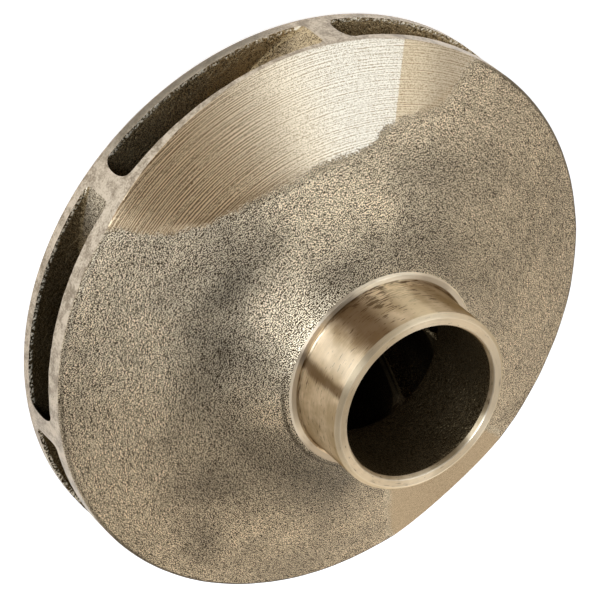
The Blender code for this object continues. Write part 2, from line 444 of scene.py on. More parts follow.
def passage_corners(share, wide, tall):
    """Reach of each corner's rounding, in shares of a passage's width and height."""
    small = (SMALL_CORNER / wide, SMALL_CORNER / tall)
    full = ((FULL_CORNER + FULL_CORNER_GROWTH * share) / wide, min(FULL_CORNER_HEIGHT / tall, 0.49))
    return {(0, 0): small, (0, 1): small, (1, 0): full, (1, 1): full}


def thickness_left(share):
    """Share of a vane's thickness that is left where it rounds off to its inlet edge."""
    near_inlet = max(0.0, (share - INLET_ROUND_FROM) / (1 - INLET_ROUND_FROM))
    return math.sqrt(max(0.0, 1 - (INLET_THINNING * near_inlet) ** 2))


def passage_loop(share, start_angle):
    """One cross-section of a passage, share 0 at the rim and 1 at the vanes' inlet edge."""
    hub_radius = OUTER_RADIUS + share * (LEADING_EDGE_AT_HUB - OUTER_RADIUS)
    shroud_radius = OUTER_RADIUS + share * (LEADING_EDGE_AT_SHROUD - OUTER_RADIUS)
    hub = (hub_radius, float(height_on(HUB_WALL, hub_radius)))
    shroud = (shroud_radius, float(height_on(SHROUD_WALL, shroud_radius)))
    tall = math.hypot(shroud[0] - hub[0], shroud[1] - hub[1])
    wide = PITCH * (hub_radius + shroud_radius) / 2
    corners = passage_corners(share, wide, tall)
    thin = thickness_left(share)
    loop = []
    for u, v in SQUARE:
        u, v = rounded(u, v, corners)
        radius = hub[0] + v * (shroud[0] - hub[0])
        height = hub[1] + v * (shroud[1] - hub[1])
        across = radius * math.sin(float(blade_angle(radius)))
        before = VANE_HALF_OUTER * thin / across
        after = VANE_HALF_INNER * thin / across
        angle = start_angle + float(wrap(radius)) + before + u * (PITCH - before - after)
        loop.append((radius * math.cos(angle), radius * math.sin(angle), height))
    return loop


def between(outer, inner, rows):
    """Rows of points blended from one loop to another."""
    outer, inner = np.array(outer), np.array(inner)
    return [outer + (inner - outer) * index / rows for index in range(rows + 1)]


def border(low_ring, high_ring, first_low, first_high):
    """A vane pitch's outline on two rings, in the order of the unit square."""
    low = [low_ring[(first_low + i) % AROUND] for i in range(PITCH_STEPS + 1)]
    high = [high_ring[(first_high + i) % AROUND] for i in range(PITCH_STEPS + 1)]
    left = [low[0] + (high[0] - low[0]) * i / SLOT_STEPS for i in range(SLOT_STEPS + 1)]
    right = [low[-1] + (high[-1] - low[-1]) * i / SLOT_STEPS for i in range(SLOT_STEPS + 1)]
    return low[:-1] + right[:-1] + high[:0:-1] + left[:0:-1]


def on_radius(points, radius):
    """Push points out onto a cylinder."""
    points = np.array(points)
    scale = radius / np.hypot(points[:, 0], points[:, 1])
    points[:, 0] *= scale
    points[:, 1] *= scale
    return points


def rough_edge(points):
    """The slightly uneven edge that the mould leaves round a slot."""
    points = np.array(points)
    middle = points.mean(axis=0)
    amount, size = SLOT_EDGE_WAVES
    for index, point in enumerate(points):
        wave = noise.noise(Vector(point) / size) + 0.7 * noise.noise(Vector(point) / FINE_SLOT_EDGE)
        points[index, 2] += amount * wave * (1 if point[2] > middle[2] else -1)
    return on_radius(points, OUTER_RADIUS)


def passages(skin, rim_low, rim_high, inlet_low, inlet_high):
    """Slots in the rim, the passages behind them, and the vanes' inlet edges."""
    low_turn, high_turn = (wrap(float(np.hypot(*inlet[0][:2]))) for inlet in (inlet_low, inlet_high))
    low_steps = round(float(low_turn) / (math.tau / AROUND))
    high_steps = round(float(high_turn) / (math.tau / AROUND))
    for index in range(VANE_COUNT):
        start = VANE_TIP_ANGLE + index * PITCH
        first = index * PITCH_STEPS
        outer = border(rim_low, rim_high, first, first)
        mouth = rough_edge(passage_loop(0.0, start))
        band = between(outer, mouth, 4)
        skin.grid([on_radius(row, OUTER_RADIUS) for row in band], RIM)
        loops = [np.array(passage_loop(row / PASSAGE_ROWS, start)) for row in range(PASSAGE_ROWS + 1)]
        loops[0] = mouth
        for row in range(1, PASSAGE_ROWS):
            loops[row] = undulate(loops[row], *PASSAGE_WAVES)
        skin.grid(loops, PASSAGE)
        inner = border(inlet_low, inlet_high, first + low_steps, first + high_steps)
        skin.grid(between(loops[-1], inner, 2), PASSAGE)


def upright(radius, start, end, shares):
    """Rings of one radius at shares of the way from one height to another."""
    return [ring(radius, start + share * (end - start)) for share in shares]


def neck(skin):
    """Shoulder, turned neck, eye face, and the as-cast eye down to the vanes."""
    foot = [ring(FOOT_RADIUS, float(height_on(FRONT_WALL, FOOT_RADIUS))),
            ring(SHOULDER_RADIUS + 0.0003, SHOULDER_HEIGHT - 0.0001),
            ring(SHOULDER_RADIUS, SHOULDER_HEIGHT),
            ring(NECK_RADIUS + 0.0008, SHOULDER_HEIGHT),
            ring(NECK_RADIUS + 0.0003, SHOULDER_HEIGHT + 0.0001),
            ring(NECK_RADIUS + 0.00006, SHOULDER_HEIGHT + 0.0005)]
    side = upright(NECK_RADIUS, SHOULDER_HEIGHT + 0.0009, EYE_FACE_HEIGHT - NECK_CHAMFER,
                   np.linspace(0.0, 1.0, 9))
    mouth = [ring(NECK_RADIUS - NECK_CHAMFER * 0.40, EYE_FACE_HEIGHT - NECK_CHAMFER * 0.40),
             ring(NECK_RADIUS - NECK_CHAMFER, EYE_FACE_HEIGHT),
             ring(EYE_RADIUS + EYE_LIP_WIDTH * 1.3, EYE_FACE_HEIGHT),
             ring(EYE_RADIUS + EYE_LIP_WIDTH, EYE_FACE_HEIGHT - EYE_LIP_DEPTH * 0.12),
             ring(EYE_RADIUS + EYE_LIP_WIDTH * 0.4, EYE_FACE_HEIGHT - EYE_LIP_DEPTH * 0.55),
             ring(EYE_RADIUS, EYE_FACE_HEIGHT - EYE_LIP_DEPTH)]
    skin.grid(foot + side + mouth, TURNED)
    wall = upright(EYE_RADIUS, EYE_FACE_HEIGHT - EYE_LIP_DEPTH, EYE_WALL_FOOT, np.linspace(0.06, 1.0, 18))
    wall = [undulate_radius(row, *EYE_WAVES) for row in wall]
    inlet_height = float(height_on(SHROUD_WALL, LEADING_EDGE_AT_SHROUD)) + 0.0006
    inlet = ring(LEADING_EDGE_AT_SHROUD - 0.0003, inlet_height)
    skin.grid([mouth[-1]] + wall + [inlet], PASSAGE)
    return inlet


def bore_outline():
    """Bore with its keyway at +X, one point for each column of the rings."""
    half = math.asin(KEYWAY_WIDTH / 2 / BORE_RADIUS)
    turned = (ANGLES + math.pi) % math.tau - math.pi
    inside = np.abs(turned) <= half
    order = np.argsort(turned)
    keyed = [index for index in order if inside[index]]
    side = BORE_RADIUS * math.cos(half)
    floor = BORE_RADIUS + KEYWAY_DEPTH
    count = len(keyed)
    length = 2 * (floor - side) + KEYWAY_WIDTH
    points = np.column_stack((BORE_RADIUS * np.cos(ANGLES), BORE_RADIUS * np.sin(ANGLES)))
    corner = round((count - 1) * (floor - side) / length)
    for place, index in enumerate(keyed):
        if place <= corner:
            points[index] = (side + (floor - side) * place / corner, -KEYWAY_WIDTH / 2)
        elif place >= count - 1 - corner:
            back = count - 1 - place
            points[index] = (side + (floor - side) * back / corner, KEYWAY_WIDTH / 2)
        else:
            share = (place - corner) / (count - 1 - 2 * corner)
            points[index] = (floor, KEYWAY_WIDTH * (share - 0.5))
    return points


def hub_nose(skin):
    """Cast nose of the hub inside the eye; returns its first and its last ring."""
    radii = np.linspace(LEADING_EDGE_AT_HUB - 0.0006, HUB_NOSE_RADIUS + 0.0004, 8)
    nose = [ring(radius, float(height_on(HUB_WALL, radius))) for radius in radii]
    nose.append(ring(HUB_NOSE_RADIUS, HUB_NOSE_HEIGHT - 0.0006))
    nose.append(ring(HUB_NOSE_RADIUS - 0.0006, HUB_NOSE_HEIGHT))
    skin.grid(nose, PASSAGE)
    return nose[0], nose[-1]


def hub_and_back(skin, rim_low):
    """Hub nose, keyed bore, rear boss, back plate and its edge."""
    inlet, nose_edge = hub_nose(skin)
    keyed = bore_outline()
    front, rear = (np.column_stack((keyed, np.full(AROUND, height))) for height in (HUB_NOSE_HEIGHT, 0.0))
    skin.grid(between(nose_edge, front, 3), TURNED)
    skin.grid(between(front, rear, 6), TURNED)
    boss = [ring(REAR_BOSS_RADIUS - 0.0005, 0.0),
            ring(REAR_BOSS_RADIUS, 0.0005),
            ring(REAR_BOSS_RADIUS, BACK_HEIGHT - 0.0012),
            ring(REAR_BOSS_RADIUS + 0.0004, BACK_HEIGHT - 0.0003),
            ring(REAR_BOSS_RADIUS + 0.0013, BACK_HEIGHT)]
    skin.grid(between(rear, boss[0], 3), TURNED)
    skin.grid(boss, TURNED)
    inner, outer = REAR_BOSS_RADIUS + 0.0013, OUTER_RADIUS - REAR_EDGE_ROUND
    plate = [ring(inner + share * (outer - inner), BACK_HEIGHT) for share in np.linspace(0.04, 1.0, 24)]
    plate.append(ring(OUTER_RADIUS - REAR_EDGE_ROUND * 0.3, BACK_HEIGHT + REAR_EDGE_ROUND * 0.3))
    skin.grid([boss[-1]] + plate + [rim_low], CAST)
    return inlet


class Paint:
    """Short calls that add nodes to one material and return their sockets."""

    def __init__(self, name):
        self.material = bpy.data.materials.new(name)
        self.material.use_nodes = True
        self.nodes = self.material.node_tree.nodes
        self.links = self.material.node_tree.links
        self.shader = self.nodes["Principled BSDF"]
        self.shader.inputs["Metallic"].default_value = 1.0
        self.place = self.nodes.new("ShaderNodeTexCoord").outputs["Object"]
        parts = self.nodes.new("ShaderNodeSeparateXYZ")
        self.links.new(self.place, parts.inputs["Vector"])
        self.x, self.y, self.z = parts.outputs

    def feed(self, socket, value):
        """Link a socket, or set it where the value is a plain number or colour."""
        if isinstance(value, bpy.types.NodeSocket):
            self.links.new(value, socket)
        else:
            socket.default_value = value

    def math(self, operation, *values):
        node = self.nodes.new("ShaderNodeMath")
        node.operation = operation
        for socket, value in zip(node.inputs, values):
            self.feed(socket, value)
        return node.outputs[0]

    def add(self, *values):
        total = values[0]
        for value in values[1:]:
            total = self.math("ADD", total, value)
        return total

    def times(self, *values):
        product = values[0]
        for value in values[1:]:
            product = self.math("MULTIPLY", product, value)
        return product

    def less(self, value, part):
        return self.math("SUBTRACT", value, part)

    def attribute(self, name):
        node = self.nodes.new("ShaderNodeAttribute")
        node.attribute_name = name
        return node.outputs["Fac"]

    def noise(self, size, detail=2.0, roughness=0.5, vector=None):
        """Noise from 0 to 1 about 0.5, with features of the given size."""
        node = self.nodes.new("ShaderNodeTexNoise")
        self.feed(node.inputs["Vector"], vector or self.place)
        node.inputs["Scale"].default_value = 1.0 / size
        node.inputs["Detail"].default_value = detail
        node.inputs["Roughness"].default_value = roughness
        return node.outputs["Fac"]

    def step(self, value, low, high):
        """Smooth step from 0 at low to 1 at high; high may lie below low."""
        node = self.nodes.new("ShaderNodeMapRange")
        node.interpolation_type = "SMOOTHSTEP"
        for socket, number in zip(node.inputs, (value, low, high, 0.0, 1.0)):
            self.feed(socket, number)
        return node.outputs["Result"]

    def near(self, value, middle, outer, inner):
        """1 where a value lies within inner of the middle, fading to 0 at outer."""
        return self.step(self.math("ABSOLUTE", self.less(value, middle)), outer, inner)

    def blend(self, share, first, second):
        """A number between two others."""
        node = self.nodes.new("ShaderNodeMix")
        self.feed(node.inputs["Factor"], share)
        self.feed(node.inputs["A"], first)
        self.feed(node.inputs["B"], second)
        return node.outputs["Result"]

    def tint(self, share, first, second, kind="MIX"):
        """A colour between two others, or one that multiplies the other."""
        node = self.nodes.new("ShaderNodeMixRGB")
        node.blend_type = kind
        for socket, value in zip(node.inputs, (share, first, second)):
            self.feed(socket, value)
        return node.outputs["Color"]

    def bump(self, height, depth, below=None):
        """Bump whose height of 1 stands depth metres proud."""
        node = self.nodes.new("ShaderNodeBump")
        node.inputs["Strength"].default_value = 1.0
        node.inputs["Distance"].default_value = depth
        self.feed(node.inputs["Height"], height)
        if below:
            self.feed(node.inputs["Normal"], below)
        return node.outputs["Normal"]

    def join(self, x, y, z):
        node = self.nodes.new("ShaderNodeCombineXYZ")
        for socket, value in zip(node.inputs, (x, y, z)):
            self.feed(socket, value)
        return node.outputs["Vector"]

    def moved(self, offset):
        """The place of shading, moved by a fixed offset."""
        values = (self.x, self.y, self.z)
        return self.join(*(self.add(value, shift) for value, shift in zip(values, offset)))

    def around(self, centre=(0.0, 0.0)):
        """Distance from an axis along Z through the centre, and the angle round it."""
        x = self.less(self.x, centre[0])
        y = self.less(self.y, centre[1])
        radius = self.math("SQRT", self.add(self.times(x, x), self.times(y, y)))
        return radius, self.math("ARCTAN2", y, x)

    def set_grooves(self, strength, centre=(0.0, 0.0)):
        """Stretch reflections across grooves that run round an axis along Z."""
        tangent = self.join(self.less(centre[1], self.y), self.less(self.x, centre[0]), 0.0)
        self.shader.inputs["Anisotropic"].default_value = strength
        self.shader.inputs["Anisotropic Rotation"].default_value = 0.25
        self.feed(self.shader.inputs["Tangent"], tangent)

    def finish(self, color, roughness, normal, grazing_tint=None):
        """Join colour, roughness and normal to the shader, with a tint for grazing views."""
        self.feed(self.shader.inputs["Base Color"], color)
        self.feed(self.shader.inputs["Roughness"], roughness)
        self.feed(self.shader.inputs["Normal"], normal)
        if grazing_tint:
            self.shader.inputs["Specular Tint"].default_value = grazing_tint
        return self.material


# Finishes of the metal
BRIGHT_CAST = (0.88, 0.71, 0.475, 1.0)
MIDDLE_CAST = (0.45, 0.335, 0.22, 1.0)
DULL_CAST = (0.048, 0.029, 0.013, 1.0)
CLEAN_CUT = (0.83, 0.735, 0.58, 1.0)
WARM_CUT = (0.84, 0.70, 0.50, 1.0)
DULL_CUT = (0.36, 0.255, 0.15, 1.0)
BROWN_CUT = (0.80, 0.585, 0.35, 1.0)
DULL_BROWN = (0.22, 0.135, 0.065, 1.0)
FLAT_TONE = (0.86, 0.77, 0.64, 1.0)
PAST_LINE_TONE = (0.80, 0.70, 0.56, 1.0)
GOLDEN = (0.79, 0.605, 0.385, 1.0)
TARNISH_AND_SHADE = (0.50, 0.36, 0.20, 1.0)
LIGHT_GOLD = (0.96, 0.76, 0.47, 1.0)
FACED_AND_HIGHLIGHT = (0.98, 0.82, 0.60, 1.0)
SCRATCH_AND_SHADE = (0.13, 0.068, 0.026, 1.0)
RIM_LIGHT = (0.56, 0.455, 0.33, 1.0)
RIM_DARK = (0.25, 0.19, 0.125, 1.0)
RIM_SHADE = (0.13, 0.105, 0.07, 1.0)
PASSAGE_DARK = (0.040, 0.022, 0.006, 1.0)
PASSAGE_BROWN = (0.54, 0.395, 0.21, 1.0)
PASSAGE_LIGHT = (0.69, 0.58, 0.42, 1.0)
GLINT = (1.00, 0.88, 0.68, 1.0)
DEEP_SHADE = (0.006, 0.004, 0.002, 1.0)

# What each metal's grazing reflections are tinted with
CAST_GRAZING = (0.95, 0.89, 0.81, 1.0)
TURNED_GRAZING = (0.42, 0.36, 0.28, 1.0)
PASSAGE_GRAZING = (0.50, 0.37, 0.20, 1.0)

# Sand-cast skin: size of its grain, clumps and mottling, and the stops that the
# mottling spans; the skin never gets brighter than MOST_STOPS
GRAIN_SIZE = 0.00029
COARSE_GRAIN_SIZE = 0.0009
CLUMP_SIZE = 0.0020
PATCH_SIZE = 0.010
PATCH_STOPS = 0.90
MOST_STOPS = 0.17
ROUGHER_WITHIN = (0.070, 0.040)
SHADED_EDGE = (0.0862, 0.0869)
SHADE_BELOW_Y = (0.030, 0.000)
FOOT_SHADOW_BEFORE_X = (-0.016, -0.026)
# Four places round a point; the grain is what differs from their mean
GRAIN_SHIFT = 0.00019
GRAIN_NEIGHBOURS = tuple((GRAIN_SHIFT * a, GRAIN_SHIFT * b, GRAIN_SHIFT * a * b)
                         for a in (1, -1) for b in (1, -1))


def cast_skin(paint):
    """Colour, roughness and grain height of the sand-cast skin, with its stains, painted highlights and
    painted shade.
    """
    fine = paint.noise(GRAIN_SIZE, 0.0)
    around = [paint.noise(GRAIN_SIZE, 0.0, 0.5, paint.moved(offset)) for offset in GRAIN_NEIGHBOURS]
    grain = paint.less(fine, paint.times(paint.add(*around), 1.0 / len(around)))
    coarse = paint.noise(COARSE_GRAIN_SIZE, 1.0, 0.5)
    clumps = paint.noise(CLUMP_SIZE, 2.0, 0.6)
    patches = paint.noise(PATCH_SIZE, 4.0, 0.55)
    # Real stains mixed with painted shade and painted highlights, kept on the mesh
    stain_and_light = paint.attribute("stain_and_light")
    radius = paint.around()[0]
    rougher = paint.step(radius, *ROUGHER_WITHIN)
    strength = paint.times(paint.blend(rougher, 6.2, 11.0), paint.blend(clumps, 0.45, 1.55))
    tone = paint.add(paint.times(grain, strength), paint.times(coarse, 0.05), paint.times(patches, -0.14),
                     paint.times(clumps, -0.30), paint.times(stain_and_light, -0.08), 0.565)
    color = paint.tint(paint.step(tone, 0.02, 0.40), DULL_CAST, MIDDLE_CAST)
    color = paint.tint(paint.step(tone, 0.48, 0.78), color, BRIGHT_CAST)
    stops = paint.add(paint.times(stain_and_light, -1.0), paint.times(patches, -PATCH_STOPS), PATCH_STOPS / 2)
    shade = paint.math("POWER", 2.0, paint.math("MINIMUM", stops, MOST_STOPS))
    color = paint.tint(1.0, color, paint.join(shade, shade, shade), "MULTIPLY")
    color = dark_edges(paint, color, radius)
    roughness = paint.blend(paint.step(tone, 0.1, 0.6), 0.66, 0.46)
    height = paint.add(paint.times(fine, 0.00012), paint.times(coarse, 0.00010))
    return color, roughness, height


def dark_edges(paint, color, radius):
    """Painted shade along the skin's outer edge, stronger where Y is low, and a painted shadow line outside
    the shoulder on the -X side.
    """
    # Painted shade along the skin's outer edge, stronger where Y is low
    painted_shade = paint.blend(paint.step(paint.y, *SHADE_BELOW_Y), 0.4, 0.7)
    color = paint.tint(paint.times(paint.step(radius, *SHADED_EDGE), painted_shade), color, DULL_CAST)
    # Painted shadow line just outside the shoulder, on the -X side only
    line = paint.times(paint.near(radius, FOOT_SHADOW_RADIUS, 0.0007, 0.0002),
                       paint.step(paint.x, *FOOT_SHADOW_BEFORE_X), 0.6)
    return paint.tint(line, color, DULL_CAST)


def cast_material():
    """As-cast skin away from the cuts."""
    paint = Paint("cast_skin")
    color, roughness, height = cast_skin(paint)
    return paint.finish(color, roughness, paint.bump(height, 1.0), CAST_GRAZING)


# Broad cut: centre of the tool's sweep, width of the marks it left, and the pace at
# which their pattern changes per radian of sweep; then where the browner side and
# the warm tone begin, as angles round the shaft axis
TOOL_CENTRE = (-TOOL_OFFSET * math.cos(CUT_DIRECTION), -TOOL_OFFSET * math.sin(CUT_DIRECTION))
GROOVE_WIDTH = 0.00027
GROOVE_SWEEP = 0.0010
LONG_LINE_WIDTH = 0.00042
LONG_LINE_SWEEP = 0.0003
BROWNER_SIDE = (math.radians(54.0), math.radians(85.0))
WARM_SIDE = (math.radians(46.0), math.radians(62.0))
FLAT_BELOW_Y = (-0.020, -0.035)
TONE_LINE_FADES = -0.012
TONE_LINE_EDGE = 0.0002


def brushed_color(paint, radius, angle, browner_side, specks):
    """Fine marks and specks, with longer lines on the browner side."""
    swept = paint.times(angle, GROOVE_SWEEP)
    lines = [paint.noise(GROOVE_WIDTH, 0.0, 0.5, paint.join(paint.add(radius, shift), swept, 0.0))
             for shift in (0.0, GROOVE_WIDTH, -GROOVE_WIDTH)]
    marks = paint.less(lines[0], paint.times(paint.add(lines[1], lines[2]), 0.5))
    long_place = paint.join(radius, paint.times(angle, LONG_LINE_SWEEP), 0.0)
    long_lines = paint.noise(LONG_LINE_WIDTH, 0.0, 0.5, long_place)
    tone = paint.add(paint.times(marks, paint.blend(browner_side, 1.8, 4.0)),
                     paint.times(paint.less(specks, 0.5), 2.8),
                     paint.times(paint.less(long_lines, 0.5), browner_side, 1.7), 0.5)
    warm_side = paint.step(paint.around()[1], *WARM_SIDE)
    dull = paint.tint(browner_side, DULL_CUT, DULL_BROWN)
    clean = paint.tint(browner_side, paint.tint(warm_side, CLEAN_CUT, WARM_CUT), BROWN_CUT)
    dull_below = paint.blend(browner_side, -0.50, 0.00)
    clean_above = paint.blend(browner_side, 1.00, 0.90)
    return paint.tint(paint.step(tone, dull_below, clean_above), dull, clean)


def flat_and_line_tones(paint, color):
    """Duller tone of the small flat, and a duller tone past a straight line at the broad cut's end."""
    color = paint.tint(paint.step(paint.y, *FLAT_BELOW_Y), color, FLAT_TONE, "MULTIPLY")
    across = paint.add(paint.times(paint.x, -math.sin(TONE_LINE_DIRECTION)),
                       paint.times(paint.y, math.cos(TONE_LINE_DIRECTION)))
    past_line = paint.step(across, TONE_LINE_REACH + TONE_LINE_EDGE, TONE_LINE_REACH - TONE_LINE_EDGE)
    fading = paint.blend(paint.step(across, TONE_LINE_FADES, TONE_LINE_REACH), 0.50, 0.95)
    return paint.tint(paint.times(past_line, fading), color, PAST_LINE_TONE, "MULTIPLY")


def cut_material():
    """Brushed cut that ends raggedly in the cast skin."""
    paint = Paint("brushed_cut")
    skin_color, skin_roughness, skin_height = cast_skin(paint)
    radius, angle = paint.around(TOOL_CENTRE)
    browner_side = paint.step(paint.around()[1], *BROWNER_SIDE)
    specks = paint.noise(GRAIN_SIZE, 0.0)
    color = flat_and_line_tones(paint, brushed_color(paint, radius, angle, browner_side, specks))
    depth = paint.attribute("cut_depth")
    # Painted shade along the cut's edge on its browner side
    color = paint.tint(paint.times(browner_side, paint.step(depth, 0.50, 0.15), 0.45), color, DULL_BROWN)
    ragged = paint.add(depth, paint.times(paint.less(paint.noise(0.0006, 2.0, 0.6), 0.5), 0.8),
                       paint.times(paint.less(paint.noise(0.006, 2.0, 0.5), 0.5), 0.5))
    is_cut = paint.step(ragged, paint.blend(browner_side, -0.03, -0.12), paint.blend(browner_side, 0.05, 0.22))
    # Painted light: the skin within the cut's margin is brightened away from the browner side
    lifted_skin = paint.tint(paint.blend(browner_side, 0.30, 0.0), skin_color, BRIGHT_CAST)
    color = paint.tint(is_cut, lifted_skin, color)
    roughness = paint.blend(is_cut, skin_roughness, 0.31)
    height = paint.blend(is_cut, skin_height, paint.times(specks, 0.000006))
    paint.set_grooves(0.96, TOOL_CENTRE)
    return paint.finish(color, roughness, paint.bump(height, 1.0), CAST_GRAZING)


# Turned neck: heights between which the chamfer's finish begins, and the middles of the
# scratched side and of the painted shade and the painted highlight on the ring round the eye
CHAMFER_FOOT = (EYE_FACE_HEIGHT - 0.0013, EYE_FACE_HEIGHT - 0.0011)
SCRATCHED_SIDE = math.radians(52.0)
SHADED_LIP = math.radians(95.0)
SHADED_CHAMFER = math.radians(100.0)
LIT_LIP = math.radians(-45.0)
# Painted dark reflections down the neck: angle round it and half width in degrees, strength
NECK_DARK_REFLECTIONS = ((-4, 13.0, 0.72), (12, 26.0, 0.56), (77, 16.5, 0.87), (117, 5.5, 0.80), (186, 27.0, 0.60))
# Painted highlights down the neck, and yellower painted highlights, in the same form
NECK_HIGHLIGHTS = ((102, 12.0, 0.28),)
NECK_YELLOW_HIGHLIGHTS = ((46, 9.0, 0.60),)
# Painted shade on the shoulder, in the same form
SHOULDER_SHADE = ((14, 16.0, 0.35), (78, 12.0, 0.45), (104, 18.0, 0.72), (187, 26.0, 0.50))


def streaked(paint, color, streaks, finish, angle, mask, softness):
    """Lay streaks of another colour, for painted shade and painted highlights; softness is the share
    of their half width at which they have faded out, and the share within which they are full."""
    for middle, half, strength in streaks:
        outer, inner = (math.radians(half * share) for share in softness)
        streak = paint.near(angle, math.radians(middle), outer, inner)
        color = paint.tint(paint.times(streak, mask, strength), color, finish)
    return color


def eye_ring(paint, color, radius, angle, chamfer):
    """Face round the eye and its chamfer, with painted highlights along its edges and on one side, and
    painted shade on the lip and chamfer in places.
    """
    face = paint.step(paint.z, EYE_FACE_HEIGHT - 0.0004, EYE_FACE_HEIGHT - 0.0001)
    color = paint.tint(paint.times(face, 0.35), color, FACED_AND_HIGHLIGHT)
    # Painted highlight on one side of the face
    color = paint.tint(paint.times(face, paint.near(angle, LIT_LIP, 0.90, 0.45), 0.5), color, FACED_AND_HIGHLIGHT)
    # Painted highlights along both edges of the face
    for edge in (NECK_RADIUS - NECK_CHAMFER, EYE_RADIUS + EYE_LIP_WIDTH):
        color = paint.tint(paint.times(paint.near(radius, edge, 0.0003, 0.0001), face, 0.8), color, FACED_AND_HIGHLIGHT)
    color = paint.tint(paint.times(chamfer, 0.65), color, paint.tint(0.5, FACED_AND_HIGHLIGHT, LIGHT_GOLD))
    # Painted shade where the chamfer would glare
    chamfer_shade = paint.times(chamfer, paint.near(angle, SHADED_CHAMFER, 0.42, 0.12), 0.75)
    color = paint.tint(chamfer_shade, color, RIM_DARK)
    # Painted shade on the lip and chamfer on one side
    above_neck = paint.step(paint.z, *CHAMFER_FOOT)
    painted_shade = paint.times(above_neck, paint.near(angle, SHADED_LIP, 0.80, 0.35), 0.5)
    return paint.tint(painted_shade, color, TARNISH_AND_SHADE)


def shoulder_ring(paint, color, radius, angle, smears):
    """Bright shoulder at the foot of the neck, with a broken dark line in its corner and painted shade in
    places.
    """
    at_foot = paint.step(paint.z, SHOULDER_HEIGHT + 0.0010, SHOULDER_HEIGHT + 0.0004)
    corner = paint.times(at_foot, paint.step(radius, NECK_RADIUS + 0.0009, NECK_RADIUS + 0.0005))
    broken = paint.times(paint.step(smears, 0.40, 0.62), 0.6)
    color = paint.tint(paint.times(corner, broken), color, SCRATCH_AND_SHADE)
    shoulder = paint.times(at_foot, paint.step(radius, NECK_RADIUS + 0.0007, NECK_RADIUS + 0.0010))
    color = paint.tint(paint.times(shoulder, 0.95), color, FACED_AND_HIGHLIGHT)
    # Painted shade in streaks round the shoulder
    full_angle = paint.math("MODULO", paint.add(angle, math.tau), math.tau)
    return streaked(paint, color, SHOULDER_SHADE, SCRATCH_AND_SHADE, full_angle, shoulder, (1.0, 0.4))


def turned_material():
    """Lathe-turned metal with fine rings, tarnish and some dark scratches, and painted dark reflections and
    highlights down the neck.
    """
    paint = Paint("turned_bronze")
    radius, angle = paint.around()
    rings = paint.noise(0.00025, 2.0, 0.6, paint.join(radius, paint.times(angle, 0.0008), paint.z))
    smears = paint.noise(0.0005, 2.0, 0.6, paint.join(radius, paint.times(angle, 0.0042), paint.z))
    tarnish = paint.noise(0.009, 3.0, 0.6)
    tone = paint.add(paint.times(rings, 0.22), paint.times(tarnish, 0.78))
    color = paint.tint(paint.step(tone, 0.38, 0.66), TARNISH_AND_SHADE, GOLDEN)
    worn = paint.times(paint.near(angle, SCRATCHED_SIDE, 0.60, 0.15),
                       paint.step(paint.z, EYE_FACE_HEIGHT - 0.002, SHOULDER_HEIGHT + 0.004))
    scratch = paint.step(paint.add(smears, paint.times(worn, 0.15)), 0.62, 0.70)
    color = paint.tint(paint.times(scratch, 0.75), color, SCRATCH_AND_SHADE)
    waver = paint.add(angle, paint.times(paint.less(tarnish, 0.5), 0.10),
                      paint.times(paint.less(rings, 0.5), 0.07))
    on_neck = paint.step(paint.z, EYE_FACE_HEIGHT - 0.0006, EYE_FACE_HEIGHT - 0.0012)
    # Painted dark reflections and painted highlights down the neck
    for streaks, finish in ((NECK_DARK_REFLECTIONS, SCRATCH_AND_SHADE), (NECK_HIGHLIGHTS, FACED_AND_HIGHLIGHT), (NECK_YELLOW_HIGHLIGHTS, LIGHT_GOLD)):
        color = streaked(paint, color, streaks, finish, waver, on_neck, (1.1, 0.25))
    face_edge = NECK_RADIUS - NECK_CHAMFER
    chamfer = paint.times(paint.step(paint.z, *CHAMFER_FOOT),
                          paint.step(radius, face_edge - 0.0002, face_edge))
    color = eye_ring(paint, color, radius, angle, chamfer)
    color = shoulder_ring(paint, color, radius, angle, smears)
    lip = paint.step(radius, EYE_RADIUS + EYE_LIP_WIDTH * 1.2, EYE_RADIUS + EYE_LIP_WIDTH)
    clean_roughness = paint.blend(paint.math("MAXIMUM", chamfer, lip), 0.34, 0.50)
    roughness = paint.blend(scratch, clean_roughness, 0.6)
    paint.set_grooves(0.95)
    return paint.finish(color, roughness, paint.bump(rings, 0.00001), TURNED_GRAZING)


# Middle of the side where painted shade darkens the rear edge of the rim
SHADED_RIM = math.radians(73.0)


def rim_material():
    """Smooth turned rim with a little grain, and painted shade along one side of its rear edge."""
    paint = Paint("rim_bronze")
    radius, angle = paint.around()
    rings = paint.noise(0.0003, 2.0, 0.6, paint.join(radius, paint.times(angle, 0.0010), paint.z))
    cloud = paint.noise(0.004, 4.0, 0.65)
    fine = paint.noise(0.0006, 2.0, 0.6)
    tone = paint.add(paint.times(cloud, 0.6), paint.times(fine, 0.4))
    color = paint.tint(paint.step(tone, 0.38, 0.60), RIM_DARK, RIM_LIGHT)
    # Painted shade along the rear edge, on one side only
    rear_edge = paint.step(paint.z, SLOT_LOW + 0.0018, BACK_HEIGHT + 0.0016)
    shaded = paint.times(rear_edge, paint.near(angle, SHADED_RIM, 0.45, 0.22), 0.75)
    color = paint.tint(shaded, color, RIM_SHADE)
    paint.set_grooves(0.5)
    normal = paint.bump(rings, 0.00002, paint.bump(fine, 0.00006))
    return paint.finish(color, paint.blend(cloud, 0.34, 0.55), normal)


